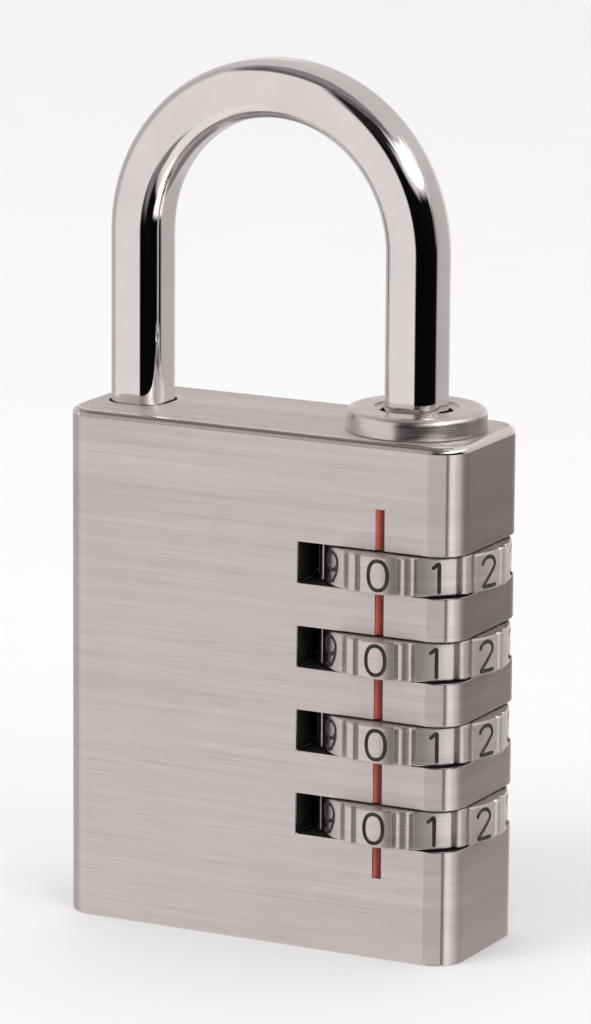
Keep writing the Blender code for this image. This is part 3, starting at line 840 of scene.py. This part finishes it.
def make_shackle():
    half = BAR_SIZE / 2
    section = rounded_rectangle(-half, half, half, BAR_CORNER, 9)
    centre_x = (AXIS_X + TOE_X) / 2
    radius = (AXIS_X - TOE_X) / 2
    stations = [(AXIS_X, HEEL_BAR_END_Z, 0.0, 0.86), (AXIS_X, HEEL_BAR_END_Z + 0.35, 0.0, 1.0)]
    for i in range(5):
        stations.append((AXIS_X, HEEL_BAR_END_Z + 2.0 + i * 3.5, 0.0, 1.0))
    steps = 100
    for i in range(steps + 1):
        turn = math.pi * i / steps
        x, z = centre_x + radius * math.cos(turn), ARCH_CENTRE_Z + radius * math.sin(turn)
        stations.append((x, z, turn, 1.0))
    for i in range(6):
        stations.append((TOE_X, ARCH_CENTRE_Z - 3.0 - i * 3.4, math.pi, 1.0))
    stations += [(TOE_X, TOE_END_Z + TOE_CHAMFER, math.pi, 1.0), (TOE_X, TOE_END_Z, math.pi, 0.86)]
    bm = bmesh.new()
    rings = []
    for x, z, turn, size in stations:
        ring = []
        for across, depth in section:
            shift = across * size
            ring.append(bm.verts.new((x + shift * math.cos(turn), depth * size, z + shift * math.sin(turn))))
        rings.append(ring)
    for first, second in zip(rings, rings[1:]):
        bridge(bm, first, second)
    bm.faces.new(rings[0])
    bm.faces.new(rings[-1])
    bmesh.ops.recalc_face_normals(bm, faces=bm.faces)
    shackle = new_object("shackle_fine", bm, CHROME)
    spindle = [
        (0.0, HEEL_BAR_END_Z + 1.0),
        (SPINDLE_RADIUS, HEEL_BAR_END_Z + 1.0),
        (SPINDLE_RADIUS, SPINDLE_END_Z + 0.5),
        (SPINDLE_RADIUS - 0.15, SPINDLE_END_Z + 0.15),
        (SPINDLE_RADIUS - 0.5, SPINDLE_END_Z),
        (0.0, SPINDLE_END_Z),
    ]
    tools = [new_object("tool_spindle", lathe(spindle, 56, False), CHROME)]
    for number, z in enumerate(DIAL_Z):
        lug = box((AXIS_X - LUG_REACH, -LUG_HALF_WIDTH, z + LUG_BOTTOM),
                  (AXIS_X, LUG_HALF_WIDTH, z + LUG_TOP))
        edges = [e for e in lug.edges if all(v.co.x < AXIS_X - 1.0 for v in e.verts)]
        bmesh.ops.bevel(lug, geom=edges, offset=0.15, segments=3, profile=0.5, affect="EDGES")
        tools.append(new_object(f"tool_lug_{number}", lug, CHROME))
    combine(shackle, tools, "UNION")
    clean(shackle)
    return settle(shackle, "shackle", ["shackle"], 40.0)


def make_collar():
    low, high = in_mm("shackle_collar")
    profile = rounded([
        (high.x - AXIS_X, high.z, COLLAR_EDGE),
        (high.x - AXIS_X, BODY_HIGH.z + COLLAR_SEAT_GAP, 0.12),
        (COLLAR_STEM_RADIUS, BODY_HIGH.z + COLLAR_SEAT_GAP, 0.0),
        (COLLAR_STEM_RADIUS, low.z, 0.2),
        (COLLAR_BORE, low.z, 0.2),
        (COLLAR_BORE, high.z - COLLAR_MOUTH_DEPTH, 0.06),
        (COLLAR_MOUTH_RADIUS, high.z - COLLAR_MOUTH_WALL, 0.06),
        (COLLAR_MOUTH_RADIUS, high.z, 0.15),
    ], True, 6)
    bm = lathe(profile, 128, True)
    # Faces inside the mouth get the near-black painted shade.
    for face in bm.faces:
        middle = face.calc_center_median()
        if math.hypot(middle.x - AXIS_X, middle.y) < COLLAR_SHADE_RADIUS:
            face.material_index = 1
    item = new_object("collar_fine", bm, COLLAR, PAINTED_SHADE_BLACK)
    return settle(item, "lock_body", ["shackle_collar"], 45.0)


# ---------------------------------------------------------------- base plate

def make_base_plate():
    low, high = in_mm("base_plate")
    outline = rounded_rectangle(low.x, high.x, high.y, PLATE_CORNER, 12)
    centre = ((low.x + high.x) / 2, 0.0)
    bm = bmesh.new()
    rings = []
    top = low.z + PLATE_THICKNESS
    for inset, z in ((0.3, low.z), (0.1, low.z + 0.06), (0.0, low.z + 0.3), (0.0, top - 0.1), (0.1, top)):
        points = []
        for x, y in outline:
            reach = Vector((x - centre[0], y))
            points.append((x - inset * reach.x / reach.length, y - inset * reach.y / reach.length))
        rings.append(ring_of(bm, points, z))
    for first, second in zip(rings, rings[1:]):
        bridge(bm, first, second)
    bm.faces.new(rings[0])
    bm.faces.new(rings[-1])
    bmesh.ops.recalc_face_normals(bm, faces=bm.faces)
    plate = new_object("base_plate_fine", bm, PLATE)
    boss = rounded([(0.0, high.z, 0), (BOSS_RADIUS, high.z, 0.2), (BOSS_RADIUS, top - 0.5, 0),
                    (0.0, top - 0.5, 0)], False)
    combine(plate, [new_object("tool_boss", lathe(boss, 40, False), PLATE)], "UNION")
    return settle(plate, "lock_body", ["base_plate"])


# ---------------------------------------------------------------- carried-over CAD nodes

def dress_cad_nodes():
    finishes = {"thrust_washer": SPRING, "sleeve_spring": SPRING, "shackle_spring": SPRING,
                "detent_spring": SPRING}
    for number in range(1, 5):
        finishes[f"code_sleeve_{number}"] = BRASS
    for node, material in finishes.items():
        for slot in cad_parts[node].material_slots:
            slot.material = material


# ---------------------------------------------------------------- studio

def make_floor():
    bm = bmesh.new()
    bmesh.ops.create_circle(bm, cap_ends=True, radius=6.0, segments=96)
    floor = new_object("floor", bm)
    material, shader, n = new_material("floor_pale", 0.7, 0.0)
    speck = n.noise(n.place(), 60.0, 3.0, 0.6)
    n.link(n.mix(speck, (0.86, 0.86, 0.86, 1.0), (0.88, 0.88, 0.88, 1.0)), shader.inputs["Base Color"])
    floor.data.materials.append(material)
    floor.visible_glossy = False


# Cards round the object: centre, half width and soft edge round it, then lowest and highest edge and
# their softness, all in degrees from the front, and the card's brightness
STUDIO_CARDS = (
    ((-40.0, 36.0, 9.0, -66.0, 45.0, 5.0), (0.84, 0.795, 0.785)),
    ((-100.0, 14.0, 12.0, -26.0, 46.0, 8.0), (0.50, 0.465, 0.46)),
    ((-138.0, 20.0, 10.0, -95.0, -35.0, 6.0), (0.23, 0.21, 0.21)),
    ((-108.0, 18.0, 10.0, -95.0, -52.0, 6.0), (0.28, 0.26, 0.26)),
    ((-12.0, 83.0, 14.0, 47.0, 95.0, 4.0), (0.27, 0.25, 0.25)),
    ((-6.0, 68.0, 10.0, 47.0, 60.0, 5.0), (0.14, 0.12, 0.12)),
    ((20.0, 55.0, 10.0, -95.0, -38.0, 5.0), (0.92, 0.875, 0.86)),
    ((82.0, 30.0, 8.0, -58.0, -19.0, 4.0), (1.38, 1.31, 1.29)),
    ((150.0, 40.0, 10.0, -95.0, -34.0, 5.0), (0.22, 0.20, 0.20)),
    ((145.0, 26.0, 10.0, -30.0, 16.0, 5.0), (0.53, 0.49, 0.485)),
    ((190.0, 30.0, 10.0, -8.0, 14.0, 6.0), (0.84, 0.79, 0.78)),
    ((108.0, 12.0, 8.0, -16.0, 14.0, 5.0), (0.24, 0.21, 0.21)),
    ((48.0, 58.0, 4.0, -20.0, 20.0, 3.0), (0.002, 0.002, 0.002)),
    ((101.0, 12.0, 4.0, -20.0, -4.0, 3.0), (0.004, 0.003, 0.003)),
    ((32.0, 26.0, 5.0, -32.0, -14.0, 3.0), (0.004, 0.003, 0.003)),
    ((6.0, 12.0, 5.0, -40.0, -16.0, 4.0), (0.22, 0.20, 0.20)),
    ((13.0, 22.0, 5.0, 16.0, 47.0, 4.0), (0.015, 0.013, 0.012)),
    ((42.0, 18.0, 6.0, 17.0, 30.0, 3.0), (0.74, 0.70, 0.68)),
    ((84.0, 44.0, 8.0, 24.0, 40.0, 3.0), (1.9, 1.84, 1.80)),
    ((134.0, 14.0, 5.0, 27.0, 37.0, 3.0), (1.05, 1.0, 0.98)),
    ((91.0, 30.0, 6.0, 36.0, 46.0, 3.0), (1.9, 1.84, 1.80)),
    ((72.0, 9.0, 3.0, 26.0, 43.0, 3.0), (6.5, 6.3, 6.2)),
)


def make_world():
    """A plain pale room. What shiny metal sees of it is a studio: light and dark cards round the object."""
    world = bpy.data.worlds.new("studio")
    bpy.context.scene.world = world
    world.use_nodes = True
    tree = world.node_tree
    tree.nodes.clear()
    n = Nodes(tree)
    ray = n.add("ShaderNodeTexCoord").outputs["Generated"]
    split = n.add("ShaderNodeSeparateXYZ")
    n.link(ray, split.inputs[0])
    height = n.math("ARCSINE", split.outputs[2])

    def card(centre_deg, half_deg, soft_deg, low_deg, high_deg, edge_deg):
        """How much of a card round the object is seen: 1 inside it, 0 outside."""
        turn = math.radians(centre_deg)
        ahead = n.math("ADD", n.math("MULTIPLY", split.outputs[0], math.sin(turn)),
                       n.math("MULTIPLY", split.outputs[1], -math.cos(turn)))
        aside = n.math("ADD", n.math("MULTIPLY", split.outputs[0], math.cos(turn)),
                       n.math("MULTIPLY", split.outputs[1], math.sin(turn)))
        off = n.math("ABSOLUTE", n.math("ARCTAN2", aside, ahead))
        half, soft = math.radians(half_deg), math.radians(soft_deg)
        edge = math.radians(edge_deg)
        seen = n.ramp(off, half + soft, half - soft)
        above = n.ramp(height, math.radians(low_deg) - edge, math.radians(low_deg) + edge)
        below = n.ramp(height, math.radians(high_deg) + edge, math.radians(high_deg) - edge)
        return n.math("MULTIPLY", seen, n.math("MULTIPLY", above, below))

    colour = (0.64, 0.605, 0.60, 1.0)
    for spot, tint in STUDIO_CARDS:
        colour = n.mix(card(*spot), colour, (*tint, 1.0))
    path = n.add("ShaderNodeLightPath")
    seen = n.mix(path.outputs["Is Glossy Ray"], (0.96, 0.96, 0.96, 1.0), colour)
    shader = n.add("ShaderNodeBackground")
    n.link(seen, shader.inputs["Color"])
    output = n.add("ShaderNodeOutputWorld")
    n.link(shader.outputs[0], output.inputs["Surface"])


def make_lights():
    for name, place, size, power in (
        ("key", (-0.45, -0.75, 0.95), 0.6, 4.0),
        ("fill", (0.9, -0.5, 0.7), 0.7, 2.0),
    ):
        lamp = bpy.data.lights.new(name, "AREA")
        lamp.size = size
        lamp.energy = power
        item = bpy.data.objects.new(name, lamp)
        bpy.context.scene.collection.objects.link(item)
        item.location = place
        item.rotation_euler = (Vector((0.0, 0.0, 0.03)) - Vector(place)).to_track_quat("-Z", "Y").to_euler()
        item.visible_glossy = False
        item.visible_camera = False


def make_camera():
    turn, rise, roll = CAMERA_AZIMUTH, CAMERA_ELEVATION, CAMERA_ROLL
    right = Vector((math.cos(turn), math.sin(turn), 0.0))
    back = Vector((math.sin(turn) * math.cos(rise), -math.cos(turn) * math.cos(rise), math.sin(rise)))
    up = back.cross(right)
    across = right * math.cos(roll) + up * math.sin(roll)
    upward = up * math.cos(roll) - right * math.sin(roll)
    place = Vector((0.0, 0.0, TARGET_HEIGHT)) + right * TARGET_RIGHT + up * TARGET_UP + back * CAMERA_DISTANCE
    lens = bpy.data.cameras.new("camera")
    lens.lens = CAMERA_LENS
    lens.sensor_fit = "AUTO"
    lens.sensor_width = 36.0
    lens.clip_start = 0.01
    camera = bpy.data.objects.new("camera", lens)
    bpy.context.scene.collection.objects.link(camera)
    camera.matrix_world = Matrix.Translation(place) @ Matrix((across, upward, back)).transposed().to_4x4()
    bpy.context.scene.camera = camera


make_body()
make_index_lines()
make_dials()
make_shackle()
make_collar()
make_base_plate()
dress_cad_nodes()
make_floor()
make_world()
make_lights()
make_camera()
bpy.context.scene.view_settings.view_transform = "Standard"

bpy.context.view_layer.update()
